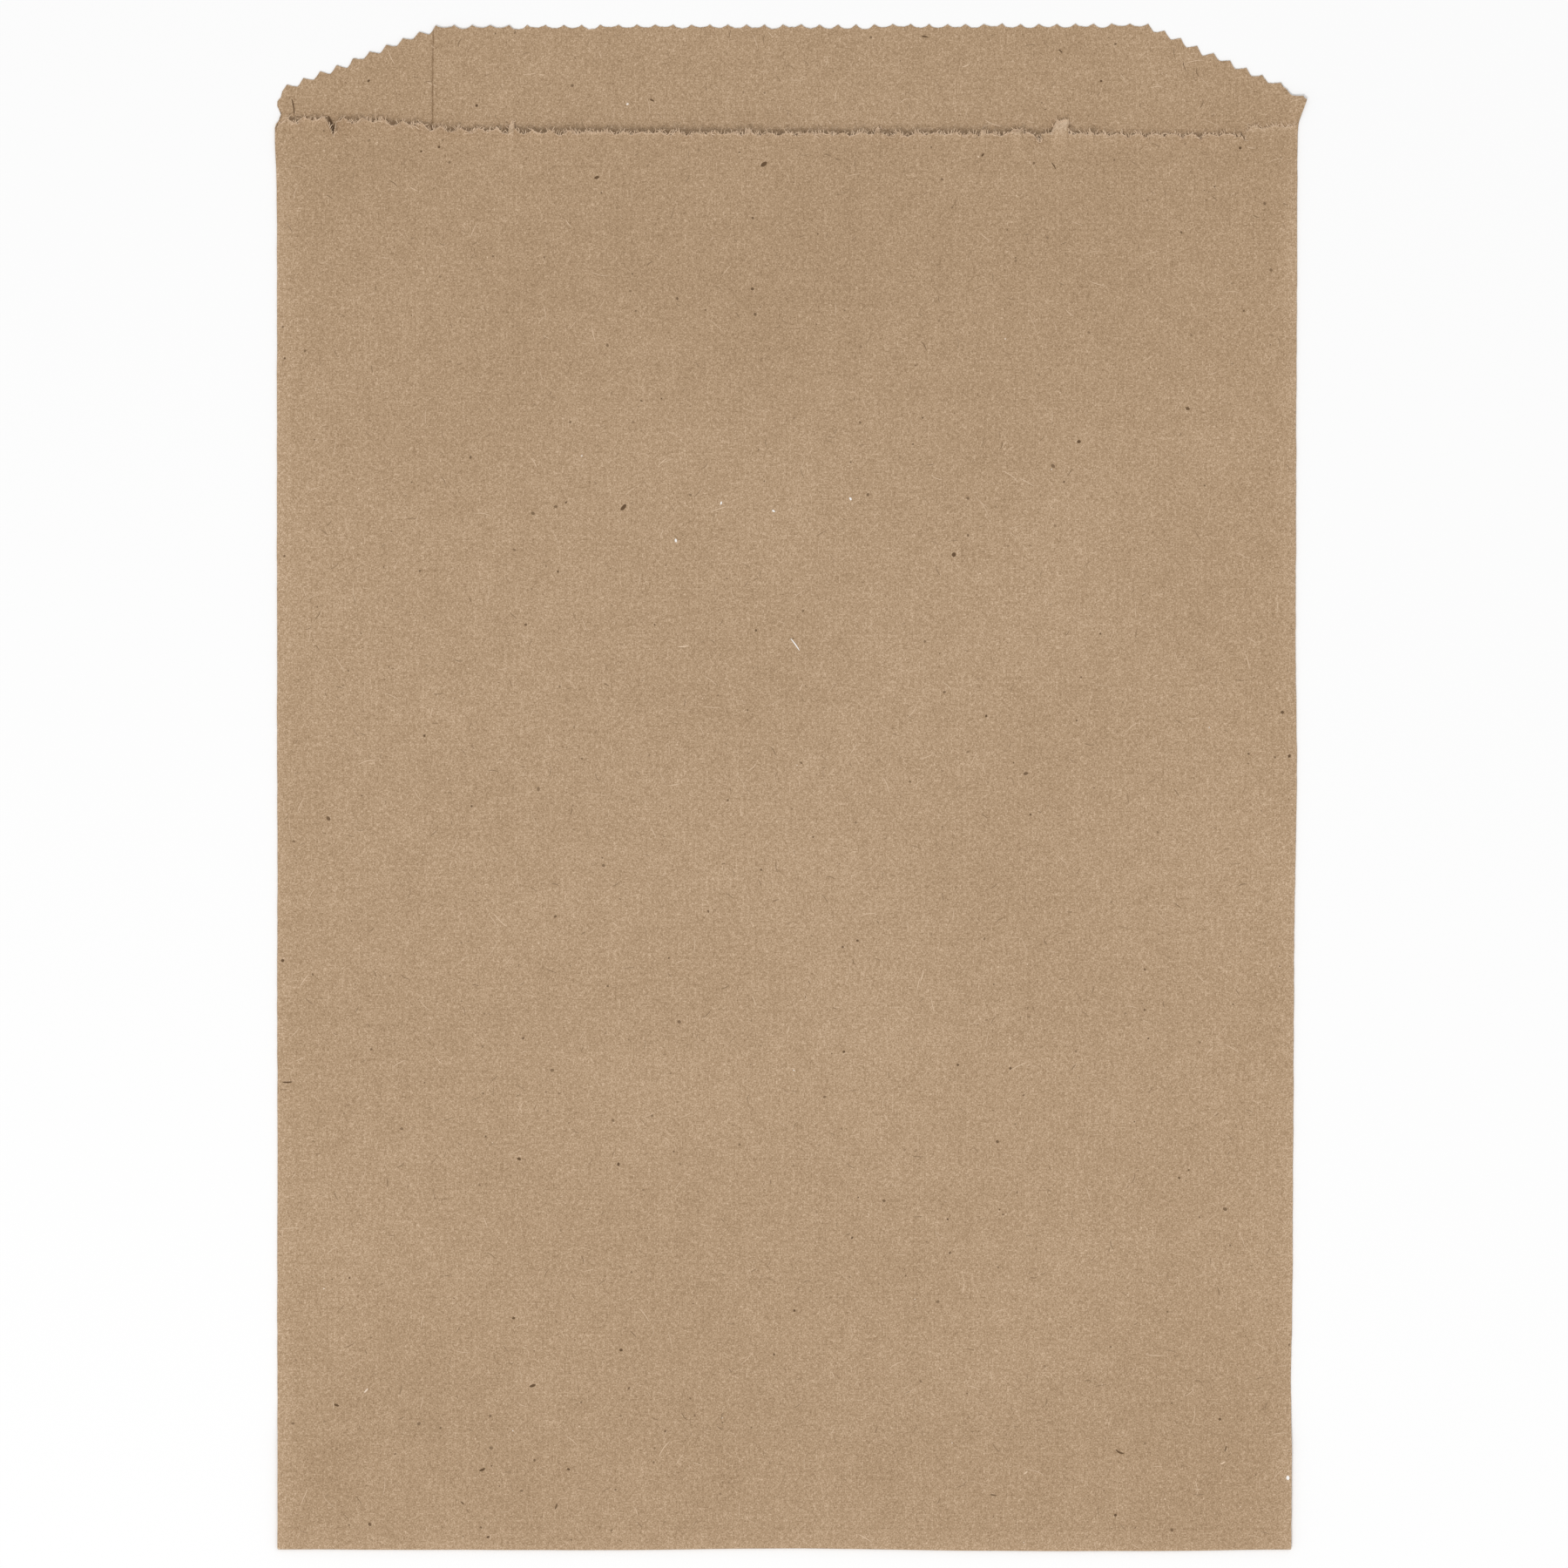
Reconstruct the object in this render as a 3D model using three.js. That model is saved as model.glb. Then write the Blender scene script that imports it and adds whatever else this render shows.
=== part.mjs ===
// Flat paper bag: one sheet of brown kraft paper, lapped and glued into a flattened tube.
// The bottom end is turned up behind and glued down. The back panel runs on past the mouth as a lip.
// Every end is cut by one toothed knife. The bag lies on its back, mouth towards +Y, front on top.
// Millimetres, +Z up.
import * as THREE from 'three';

// Bag
const bagWidth = 157.8;
const bodyLength = 219.6; // bottom fold to the front panel's cut edge
const paperThickness = 0.1;
const layerGap = 0.02; // left between two layers that lie on each other

// Lip: a top that runs up a little to the right between two sloping corners, each with a shoulder.
// Heights are over the straight middle of the mouth, and insets are from the side fold.
const lipTopHeightLeft = 16.6;
const lipTopHeightRight = 17.1;
const lipTopInsetLeft = 24.4;
const lipTopInsetRight = 23;
const lipShoulderHeightLeft = 7.4;
const lipShoulderHeightRight = 8;
const lipShoulderInsetLeft = 1.4;
const lipShoulderInsetRight = 2.8;
const lipCornerHeightLeft = 4.8; // what is left of the lip at the side folds
const lipCornerHeightRight = 5.4;
const earFlare = 1.9; // the right corner has sprung open past the side fold
const earReach = 3.6; // and tapers off this far into the lip
const cornerPinch = 1.2; // the left corner is drawn in between the lip and the side fold

// Lengthwise lap, left of centre on the back
const lapEdgeOffset = 54.9; // centre of the bag to the inner layer's free edge
const lapWidth = 12;
const lapRamp = 1.5; // the inner layer climbs onto the outer one over this width

// Bottom flap, glued to the back
const flapDepth = 19.6; // longest part, cut from the front panel
const flapMargin = 1; // clear of a cut edge before the back panel starts down over it
const flapRamp = 2.5; // length of each step down
const flapBaseRow = 1.2; // first row of the flap, past the fold

// Knife
const toothPitch = 2.82;
const toothDepth = 0.57;
const slopeToothDepth = 0.85; // on the lip's two sloping corners
const toothSharpness = 2.5; // above 2 the valleys are flat and the tips pointed
const toothShares = [0, 0.2, 0.5, 0.8];

// Mouth edge of the front panel, measured from its straight middle
const mouthRiseLeft = 2.4;
const mouthRiseLeftReach = 42;
const mouthRiseRight = 1.1;
const mouthRiseRightReach = 7;
const mouthStep = 1; // width over which the right rise starts
const edgeBand = 4; // last full row of the panels, short of the mouth

// Swell of the front panel over the back one
const bodySwell = 1.8;
const mouthSwell = 1;
const swellPower = 2.2;

// Damage along the mouth edge: reach is past the edge, or into the panel where it is negative
const mouthTear = { fromSide: 8.9, side: -1, halfWidth: 0.7, reach: -2.6, curl: 0.15 };
const mouthTab = { fromSide: 37, side: 1, halfWidth: 1.7, reach: 2.1, curl: 0.9 };

// Mesh
const frontColumns = 12;
const backColumns = 9;
const bodyRows = 10;
const foldSteps = 4;
const closestStations = 0.25;

// Worked out from the sizes above
const layerStep = paperThickness + layerGap;
const halfThickness = paperThickness / 2;
const foldCentreX = bagWidth / 2 - layerStep - halfThickness;
const lapEdgeX = -lapEdgeOffset;
const stripEdgeX = lapEdgeX + lapWidth;
const backLift = 0.5 * layerStep; // layers are counted from the middle of the turned-up bottom
const frontLift = 2.5 * layerStep;
const foldMiddleZ = frontLift + halfThickness; // brings the flap's outer face to the table
const lowestCornerHeight = Math.min(lipCornerHeightLeft, lipCornerHeightRight);
const cornerFlapEnd = flapDepth - lowestCornerHeight + slopeToothDepth;
const longestFlapEnd = flapDepth + toothDepth;
const dropStart = cornerFlapEnd + flapMargin;
const dropEnd = longestFlapEnd + flapMargin / 2 + flapRamp;

const mix = THREE.MathUtils.lerp;
const ease = THREE.MathUtils.smoothstep;

// One straight run of the knife as points (x, height): pointed tips with hollow valleys between them
function toothedRun(from, to, fullDepth) {
  const run = to.clone().sub(from);
  const count = Math.max(1, Math.round(run.length() / toothPitch));
  const inward = new THREE.Vector2(run.y, -run.x).normalize();
  const points = [];
  for (let tooth = 0; tooth < count; tooth++) {
    for (const share of toothShares) {
      const depth = fullDepth * (1 - Math.abs(2 * share - 1) ** toothSharpness);
      const point = from.clone().lerp(to, (tooth + share) / count).addScaledVector(inward, depth);
      points.push({ x: point.x, height: point.y, tip: share === 0 });
    }
  }
  return points;
}

// The knife's whole path over one panel, from the left side fold to the right one. A corner's third
// value is the depth of the teeth on the run that ends there.
function knifePath(corners) {
  const points = [];
  for (let i = 1; i < corners.length; i++) {
    const [fromX, fromHeight] = corners[i - 1];
    const [toX, toHeight, depth = toothDepth] = corners[i];
    const from = new THREE.Vector2(fromX, fromHeight);
    points.push(...toothedRun(from, new THREE.Vector2(toX, toHeight), depth));
  }
  const [x, height] = corners.at(-1);
  points.push({ x, height, tip: true });
  return points;
}

function heightOnPath(path, x) {
  const next = path.findIndex((point) => point.x >= x);
  if (next < 1) return next === 0 ? path[0].height : path.at(-1).height;
  const [before, after] = [path[next - 1], path[next]];
  return mix(before.height, after.height, (x - before.x) / (after.x - before.x));
}

const lipPath = knifePath([
  [-foldCentreX, lipCornerHeightLeft],
  [-foldCentreX + lipShoulderInsetLeft, lipShoulderHeightLeft, 0], // the flank of one tooth
  [-foldCentreX + lipTopInsetLeft, lipTopHeightLeft, slopeToothDepth],
  [foldCentreX - lipTopInsetRight, lipTopHeightRight],
  [foldCentreX - lipShoulderInsetRight, lipShoulderHeightRight, slopeToothDepth],
  [foldCentreX, lipCornerHeightRight, slopeToothDepth],
]);

const mouthPath = knifePath([
  [-foldCentreX, mouthRiseLeft],
  [-foldCentreX + mouthRiseLeftReach, 0],
  [foldCentreX - mouthRiseRightReach - mouthStep, 0],
  [foldCentreX - mouthRiseRightReach, mouthRiseRight],
  [foldCentreX, mouthRiseRight],
]);

// A tear or a standing tab, as its place across the bag and its share at x, 1 at its point
function markX(mark) {
  return mark.side * (bagWidth / 2 - mark.fromSide);
}

function markShare(mark, x) {
  return Math.max(0, 1 - Math.abs(x - markX(mark)) / mark.halfWidth);
}

const mouthMarks = [mouthTear, mouthTab];

// A station is one line along the sheet. It holds its place across the bag, its height over the
// fold's middle, the way its outer face looks, and how the knife and wear have left its mouth end.
function backStation(x, isInnerLayer) {
  const onLap = isInnerLayer ? 1 - ease(x, stripEdgeX + layerStep, stripEdgeX + lapRamp) : 0;
  const lift = backLift + onLap * layerStep;
  const nearEar = Math.max(0, 1 - (foldCentreX - x) / earReach);
  const cut = heightOnPath(lipPath, x);
  return { x, lift, facing: [0, -1], cut, shift: isInnerLayer ? earFlare * nearEar : 0 };
}

function frontStation(x) {
  const cut = heightOnPath(mouthPath, x);
  const reach = mouthMarks.reduce((sum, mark) => sum + mark.reach * markShare(mark, x), 0);
  const curl = mouthMarks.reduce((sum, mark) => sum + mark.curl * markShare(mark, x), 0);
  return { x, lift: frontLift, facing: [0, 1], cut, reach, curl, swells: true };
}

// The side folds turn half round, from a back layer up to the front panel
function foldStations(side) {
  const stations = [];
  for (let step = 1; step < foldSteps; step++) {
    const share = step / foldSteps; // 0 at the back layer, 1 at the front panel
    const angle = Math.PI * (share - 0.5);
    const facing = [side * Math.cos(angle), Math.sin(angle)];
    const frontCut = side < 0 ? mouthRiseLeft : mouthRiseRight;
    const backCut = side < 0 ? lipCornerHeightLeft : lipCornerHeightRight;
    stations.push({
      x: side * foldCentreX + layerStep * facing[0],
      lift: (backLift + frontLift) / 2 + layerStep * facing[1],
      facing,
      cut: mix(backCut, frontCut, share),
      shift: side > 0 ? earFlare * (1 - share) : cornerPinch * Math.sin(Math.PI * share),
      column: true,
    });
  }
  return side < 0 ? stations : stations.reverse();
}

// Columns run the whole length of the sheet. The knife's tips add stations to the first and last
// rows, and the points of its valleys only to the cut edges.
function panelStations(columns, path, makeStation) {
  const low = Math.min(...columns);
  const high = Math.max(...columns);
  const stations = columns.map((x) => ({ ...makeStation(x), column: true, tip: true }));
  const marks = makeStation === frontStation ? mouthMarks : [];
  const markPoints = marks.flatMap((mark) => [-1, 0, 1].map((share) => ({
    x: markX(mark) + share * mark.halfWidth,
    tip: false,
  })));
  for (const point of [...markPoints, ...path]) {
    const clear = stations.every((station) => Math.abs(station.x - point.x) > closestStations);
    if (point.x > low && point.x < high && clear) {
      stations.push({ ...makeStation(point.x), tip: point.tip });
    }
  }
  return stations.sort((a, b) => a.x - b.x);
}

function evenColumns(from, to, count) {
  return Array.from({ length: count + 1 }, (_, i) => mix(from, to, i / count));
}

function sheetStations() {
  const stripColumns = [-foldCentreX, mix(-foldCentreX, lapEdgeX, 0.5), lapEdgeX, stripEdgeX];
  const lapColumns = [lapEdgeX, stripEdgeX + layerStep];
  const mainColumns = evenColumns(stripEdgeX + lapRamp, foldCentreX, backColumns);
  const innerBack = (x) => backStation(x, true);
  const outerBack = (x) => backStation(x, false);
  return [
    ...panelStations(stripColumns, lipPath, outerBack).reverse(),
    ...foldStations(-1),
    ...panelStations(evenColumns(-foldCentreX, foldCentreX, frontColumns), mouthPath, frontStation),
    ...foldStations(1),
    ...panelStations([...lapColumns, ...mainColumns], lipPath, innerBack).reverse(),
  ];
}

// How far the sheet has come down towards the table at y. It steps down past the end of the
// folded-in back layer, lies glued on the flap, and steps down again past the flap's edge.
function dropAt(y) {
  const ontoFlap = THREE.MathUtils.clamp((y - dropStart) / flapRamp, 0, 1);
  const offFlap = THREE.MathUtils.clamp((y - dropEnd + flapRamp) / flapRamp, 0, 1);
  return layerStep * (2 * ontoFlap + offFlap);
}

function swellAt(x, y) {
  const across = 1 - Math.abs(x / foldCentreX) ** swellPower;
  const rising = ease(y, dropStart, bodyLength / 2);
  const narrowing = ease(y, bodyLength / 2, bodyLength);
  return across * (bodySwell * rising - (bodySwell - mouthSwell) * narrowing);
}

// A point of the flattened tube at y, before the mouth's wear is added
function onPanel(station, x, lift, y) {
  const swell = station.swells ? swellAt(station.x, y) : 0;
  return new THREE.Vector3(x, y, foldMiddleZ + lift - dropAt(y) + swell);
}

const panelRow = (y) => ({
  holds: (station) => station.column,
  place: (station, x, lift) => onPanel(station, x, lift, y),
});

const bendRow = (angle) => ({
  holds: (station) => station.column,
  place: (station, x, lift) =>
    new THREE.Vector3(x, -lift * Math.sin(angle), foldMiddleZ + lift * Math.cos(angle)),
});

const flapFootRow = {
  holds: (station) => station.column || station.tip,
  place: (station, x, lift) => new THREE.Vector3(x, flapBaseRow, foldMiddleZ - lift),
};

const flapEdgeRow = {
  holds: () => true,
  place: (station, x, lift) => new THREE.Vector3(x, flapDepth - station.cut, foldMiddleZ - lift),
};

const mouthFootRow = {
  holds: (station) => station.column || station.tip,
  place: (station, x, lift) => onPanel(station, x, lift, bodyLength - edgeBand),
};

const mouthEdgeRow = {
  holds: () => true,
  place: (station, x, lift) => {
    const { cut, reach = 0, curl = 0, shift = 0 } = station;
    const point = onPanel(station, x + shift, lift, bodyLength + cut + reach);
    point.z += curl;
    return point;
  },
};

function sheetRows() {
  const bends = evenColumns(Math.PI, 0, foldSteps).map(bendRow);
  const steps = [dropStart, dropStart + flapRamp, dropEnd - flapRamp].map(panelRow);
  const body = evenColumns(dropEnd, bodyLength - edgeBand, bodyRows).slice(0, -1).map(panelRow);
  return [flapEdgeRow, flapFootRow, ...bends, ...steps, ...body, mouthFootRow, mouthEdgeRow];
}

// Lays the sheet's outer and inner faces and closes them along the four cut edges
function makeSheet(stations, rows) {
  const positions = [];
  const triangles = [];

  const layRow = (row, side) => stations.map((station) => {
    if (!row.holds(station)) return null;
    const offset = side * halfThickness;
    const [outX, outZ] = station.facing;
    const point = row.place(station, station.x + offset * outX, station.lift + offset * outZ);
    return positions.push(point) - 1;
  });

  // Fills the strip between two rows. One of them holds every station that the other one does.
  const joinRows = (lower, upper, addFace) => {
    const shared = stations.map((_, i) => i).filter((i) => lower[i] !== null && upper[i] !== null);
    for (let n = 1; n < shared.length; n++) {
      const [start, end] = [shared[n - 1], shared[n]];
      const between = (row) => row.slice(start, end + 1).filter((vertex) => vertex !== null);
      const [low, high] = [between(lower), between(upper)];
      const lowIsFull = low.length > high.length;
      const full = lowIsFull ? low : high;
      const sparse = lowIsFull ? high : low;
      const middle = Math.floor((full.length - 1) / 2);
      for (let k = 0; k + 1 < full.length; k++) {
        const corner = k < middle ? sparse[0] : sparse[1];
        if (lowIsFull) addFace(full[k], full[k + 1], corner);
        else addFace(full[k + 1], full[k], corner);
      }
      if (lowIsFull) addFace(sparse[1], sparse[0], full[middle]);
      else addFace(sparse[0], sparse[1], full[middle]);
    }
  };

  // Closes the edge between two matching lines of vertices, with the outer face on its left
  const closeEdge = (outerLine, innerLine) => {
    for (let k = 1; k < outerLine.length; k++) {
      triangles.push(outerLine[k - 1], outerLine[k], innerLine[k]);
      triangles.push(outerLine[k - 1], innerLine[k], innerLine[k - 1]);
    }
  };

  const outer = rows.map((row) => layRow(row, 1));
  const inner = rows.map((row) => layRow(row, -1));
  for (let r = 1; r < rows.length; r++) {
    joinRows(outer[r - 1], outer[r], (a, b, c) => triangles.push(a, b, c));
    joinRows(inner[r - 1], inner[r], (a, b, c) => triangles.push(a, c, b));
  }
  const backwards = (line) => [...line].reverse();
  const last = stations.length - 1;
  closeEdge(outer.at(-1), inner.at(-1));
  closeEdge(backwards(outer[0]), backwards(inner[0]));
  closeEdge(outer.map((row) => row[0]), inner.map((row) => row[0]));
  closeEdge(backwards(outer.map((row) => row[last])), backwards(inner.map((row) => row[last])));

  const geometry = new THREE.BufferGeometry().setFromPoints(positions);
  geometry.setIndex(triangles);
  return geometry;
}

// Puts the origin under the middle of the bag, on the table
function centreOnTable(geometry) {
  geometry.computeBoundingBox();
  const { min, max } = geometry.boundingBox;
  geometry.translate(-(min.x + max.x) / 2, -(min.y + max.y) / 2, -min.z);
  geometry.computeVertexNormals();
}

const kraftPaper = new THREE.MeshStandardMaterial({ color: 0xb4987a, roughness: 0.9, metalness: 0 });

function paperBag() {
  const geometry = makeSheet(sheetStations(), sheetRows());
  centreOnTable(geometry);
  const bag = new THREE.Mesh(geometry, kraftPaper);
  bag.name = 'paper_bag';
  return bag;
}

const bag = new THREE.Group();
bag.add(paperBag());

export default bag;
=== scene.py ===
import math
import random

import bmesh
import bpy
from mathutils import Matrix, Vector, noise
from mathutils.bvhtree import BVHTree


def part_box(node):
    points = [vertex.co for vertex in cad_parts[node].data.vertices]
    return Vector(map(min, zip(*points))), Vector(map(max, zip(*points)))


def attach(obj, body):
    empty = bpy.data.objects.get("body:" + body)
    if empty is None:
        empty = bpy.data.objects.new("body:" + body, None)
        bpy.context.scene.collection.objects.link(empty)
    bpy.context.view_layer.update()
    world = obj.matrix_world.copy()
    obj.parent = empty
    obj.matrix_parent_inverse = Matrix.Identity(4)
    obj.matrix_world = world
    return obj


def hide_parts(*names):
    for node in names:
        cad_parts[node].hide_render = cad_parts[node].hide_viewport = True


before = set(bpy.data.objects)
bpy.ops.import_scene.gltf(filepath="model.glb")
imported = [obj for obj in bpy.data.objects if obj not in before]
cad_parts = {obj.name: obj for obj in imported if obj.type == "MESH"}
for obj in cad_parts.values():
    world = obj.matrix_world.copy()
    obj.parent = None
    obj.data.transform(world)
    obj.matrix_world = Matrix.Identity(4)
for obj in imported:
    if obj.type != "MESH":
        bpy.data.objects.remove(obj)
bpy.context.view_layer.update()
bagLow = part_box("paper_bag")[0]
mm = 0.001

print("frame loaded")

# The sheet, in millimetres. x is across from the middle of the bag and y is along it from the
# bottom fold. The sizes are the solid's, but the ear at the right corner and the pinch at the left
# one are fitted closer to the photograph, and the mouth lies a little flatter.
sheet = {
    "width": 157.8, "bodyLength": 219.6, "thickness": 0.1, "layerGap": 0.02,
    "lapEdge": 54.9, "lapWidth": 12, "lapRamp": 1.5,
    "flapDepth": 19.6, "flapMargin": 1, "flapRamp": 2.5, "flapFoot": 1.2,
    "earFlare": 1.55, "earReach": 3.6, "earFoot": 220.6, "earLift": 0.4,
    "cornerPinch": 0.85, "pinchY": 222.2, "pinchHalfLength": 1.9, "pinchReach": 2.6,
    "swell": 1.8, "mouthSwell": 0.75, "swellPower": 2.2, "lipLift": 0.12,
    "edgeBand": 4, "crispAngle": 50,
}

# The lip's cut, as insets from the side folds and heights over the mouth. It runs up to the right.
# The step at the left and the ear at the right are finer here than in the solid.
lip = {
    "cornerLeft": 4.8, "shoulderLeft": (1.4, 7.4), "topLeft": (24.4, 16.6),
    "topRight": (23, 17.1), "shoulderRight": (2.8, 8), "cornerRight": 5.4,
    "earRight": [(2.05, 6.8), (1.5, 6.0), (0.3, 6.0)],
    "stepLeft": [(0.08, 4.95), (0.6, 5.5), (0.68, 6.3)],
}

# The toothed knife, and how unevenly it cuts
knife = {
    "pitch": 2.82, "depth": 0.54, "slopeDepth": 0.95, "sharpness": 2.5, "slopeSharpness": 1.25,
    "unevenDepth": 0.4, "raggedLip": 0.1, "raggedMouth": 0.14, "fray": 0.7, "fineFray": 0.1,
}

# The front panel's mouth edge, and the damage on it. The line has the distance from the left fold,
# the height, and the depth and sharpness of the teeth on the run up to there.
mouth = {
    "line": [
        (0, 0.8), (1.0, 2.5, 0), (16.3, 2.2, 0.95, 1.25), (28.3, 0.8, 1.0, 1.25),
        (45, 0.3, 0.8, 1.25), (78.7, 0.1, 0.55, 1.1), (124.4, 0.1, 0.55, 0.9),
        (149.5, 0.1, 0.95, 0.42), (150.6, 1.3, 0), (157.6, 1.5, 0.4, 1.25),
    ],
    # x, half width, reach past the edge (into the panel below 0), curl upwards, lean to the right
    "marks": [
        (-70.4, 0.75, -2.4, 0.3, 0.45),
        (42.0, 1.35, 2.2, 0.9, 0.6),
        (42.2, 4.2, 0, 0.5, 0),
        (-42.7, 0.55, 1.3, 0.45, 0.1),
        (13.9, 0.5, 0.8, 0.3, 0.1),
        (35.4, 0.9, 0.9, 0.4, 0.3),
        (46.9, 0.45, 0.8, 0.35, 0.1),
        (30.2, 0.45, 0.9, 0.4, 0.1),
        (38.6, 0.6, -1.1, 0.2, 0.6),
        (-75.6, 0.5, -0.5, 0.15, 0.0),
        (70.6, 0.42, -1.0, 0.1, 0.0),
    ],
    "tipDroop": 0.12, "pitLift": 0.65, "flatFrom": 71, "tabRest": 0.22, "tabSquareness": 3.6,
    # how far its two ends lie down on the lip, and where that begins and is full, along and across
    "flatEnds": 0.8, "flatAlong": (190, 219), "flatAcross": (38, 58),
}

# Small bends of the two long edges: side, y, half length and how far out
sideMarks = [(1, 121, 28, 0.28), (1, 91.8, 0.9, -0.35), (1, 26, 14, -0.16), (-1, 219, 9, 0.3)]

# Soft tone changes on the front: x, y, half width, half height and tone. The first six are dark
# blotches over the flap, the seventh is painted shade over the top of the front, and the last one
# makes it darker towards the bottom.
blotchesAndShade = [
    (-71, 11.5, 7, 7, -0.035), (-8.5, 11.5, 4, 7, -0.025), (16, 11.5, 4.5, 7, -0.03),
    (40, 11.5, 4.5, 7, -0.03), (-40, 11, 6, 6, -0.012), (66, 12, 7, 6, -0.015),
    (0, 224, 190, 75, -0.05), (0, 0, 200, 60, -0.025),
]

# How much lighter or darker the sheet is at its folds, cut edges and steps. The torn mouth edge and its
# tab are lighter. The bottom fold gets a painted highlight, with painted shade on its turned side, and the
# lap's edge gets a painted shadow line. The side folds are lighter, and the flap's edge and the lip darker.
wearAndPaintedLight = {
    "sideFold": 0.05, "sideFoldWidth": 2.2, "bottomFold": 0.015, "underBottomFold": -0.1,
    "flapEdge": -0.3, "lapEdge": -0.3, "mouthEdge": 0.3, "tab": 0.32, "lip": -0.035,
    # the flat strip over the bottom fold, lighter as a painted highlight, the painted shadow line along
    # the layer's step at its top, and how uneven that is
    "footHighlight": 0.015, "stepShadowLine": -0.02, "creaseUnevenness": 0.03, "creaseFrom": 2.8, "creaseTo": 3.1,
}

# The paper's ripples: height, length across, length along and place in the noise
ripples = {
    "broad": (0.16, 26, 34, 4.2), "fine": (0.05, 8, 11, 9.1), "overFlap": (0.06, 7, 6, 6.6),
    "sideFine": (0.07, 1, 2.2, 1.7), "sideBroad": (0.08, 1, 24, 5.2), "bottom": (0.06, 9, 1, 3.3),
}

# Where the bottom fold sits high: round x by half width and height, and from x to x by height
bottomLine = {"middle": (2, 34, 0.3), "right": (56, 79, 0.28), "reach": 12}

# Soft shapes of the front panel: x0, y0, x1, y1 of the line, height and half width
creases = [
    (-38.0, 72.0, -43.5, 2.0, 0.10, 5.0),
    (67.5, 10.5, 77.0, 3.0, 0.16, 1.6),
    (-77.5, 3.0, -66.0, 13.0, 0.14, 2.4),
    (77.0, 92.5, 60.0, 96.0, 0.05, 3.0),
    (-77.0, 70.5, -70.0, 69.0, 0.05, 2.5),
]

# The cells of the unfolded sheet, across it and along it
grid = {
    "stripCells": 13, "frontCells": 56, "mainCells": 43, "lapCells": 4,
    "foldCells": 6, "bendCells": 6, "bodyRows": 150, "edgeCuts": 15, "hem": 0.14,
    "flapPlaces": (0, 0.7, 0.95, 1), "mouthPlaces": (0, 0.4, 0.55, 0.68, 0.78, 0.87, 0.95, 1),
    "footRows": (1.2, 2.6, 3.0, 3.3, 4.2, 5.6, 7, 8.5, 10, 11.5, 13, 14.8),
}

step = sheet["thickness"] + sheet["layerGap"]
foldX = sheet["width"] / 2 - step - sheet["thickness"] / 2
stripEdgeX = sheet["lapWidth"] - sheet["lapEdge"]
backLift = 0.5 * step
frontLift = 2.5 * step
foldZ = frontLift + sheet["thickness"] / 2
cornerFlapEnd = sheet["flapDepth"] - min(lip["cornerLeft"], lip["cornerRight"]) + knife["slopeDepth"]
dropStart = cornerFlapEnd + sheet["flapMargin"]
dropEnd = sheet["flapDepth"] + knife["depth"] + sheet["flapMargin"] / 2 + sheet["flapRamp"]

# From bag millimetres to the frame: the left fold and the bottom fold lie on the solid's box
originX = bagLow.x + sheet["width"] / 2 * mm
originY = bagLow.y + (frontLift + sheet["thickness"] / 2) * mm


def mix(a, b, share):
    return a + (b - a) * share


def clamp(value):
    return min(1.0, max(0.0, value))


def ease(value, start, end):
    share = clamp((value - start) / (end - start))
    return share * share * (3 - 2 * share)


def chance(*key):
    return noise.noise(Vector((key[0] * 7.31 + 0.5, key[-1] * 3.17 + 11.7, 2.3)))


# Height of the knife's cut at x, as its straight line, the depth of the tooth's valley under it and
# the sideways lean of that valley on a slope. A corner may give the depth and the sharpness of the
# run up to it.
def cutAt(corners, x, seed):
    for (startX, startH, *_), (endX, endH, *given) in zip(corners, corners[1:]):
        if x <= endX or endX == corners[-1][0]:
            break
    length = math.hypot(endX - startX, endH - startH)
    share = (x - startX) / (endX - startX)
    count = max(1, round(length / knife["pitch"]))
    place = share * count
    tooth = math.floor(place)
    within = place - tooth
    depth, sharpness = (*given, *(knife["depth"], knife["sharpness"])[len(given):])
    uneven = 1 + knife["unevenDepth"] * 2 * chance(tooth + 40 * bool(given), seed)
    deep = depth * uneven * (1 - abs(2 * within - 1) ** sharpness)
    slope = (endH - startH) / length
    return mix(startH, endH, share), deep * (endX - startX) / length, deep * slope


def insets(side, places):
    return [(side * (foldX - inset), height) for inset, height in places]


lipCorners = insets(-1, [(0, lip["cornerLeft"]), *lip["stepLeft"], lip["shoulderLeft"], lip["topLeft"]])
lipCorners += insets(1, [lip["topRight"], lip["shoulderRight"], *lip["earRight"], (0, lip["cornerRight"])])
slopeCut = (knife["slopeDepth"], knife["slopeSharpness"])
lipDepths = [(), *[(0,)] * (len(lip["stepLeft"]) + 1), slopeCut, ()]
lipDepths += [slopeCut, *[(0.1,)] * (len(lip["earRight"]) + 1)]
lipLine = [(*corner, *depth) for corner, depth in zip(lipCorners, lipDepths)]
mouthLine = [(min(foldX, inset - foldX), *cut) for inset, *cut in mouth["line"]]


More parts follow.
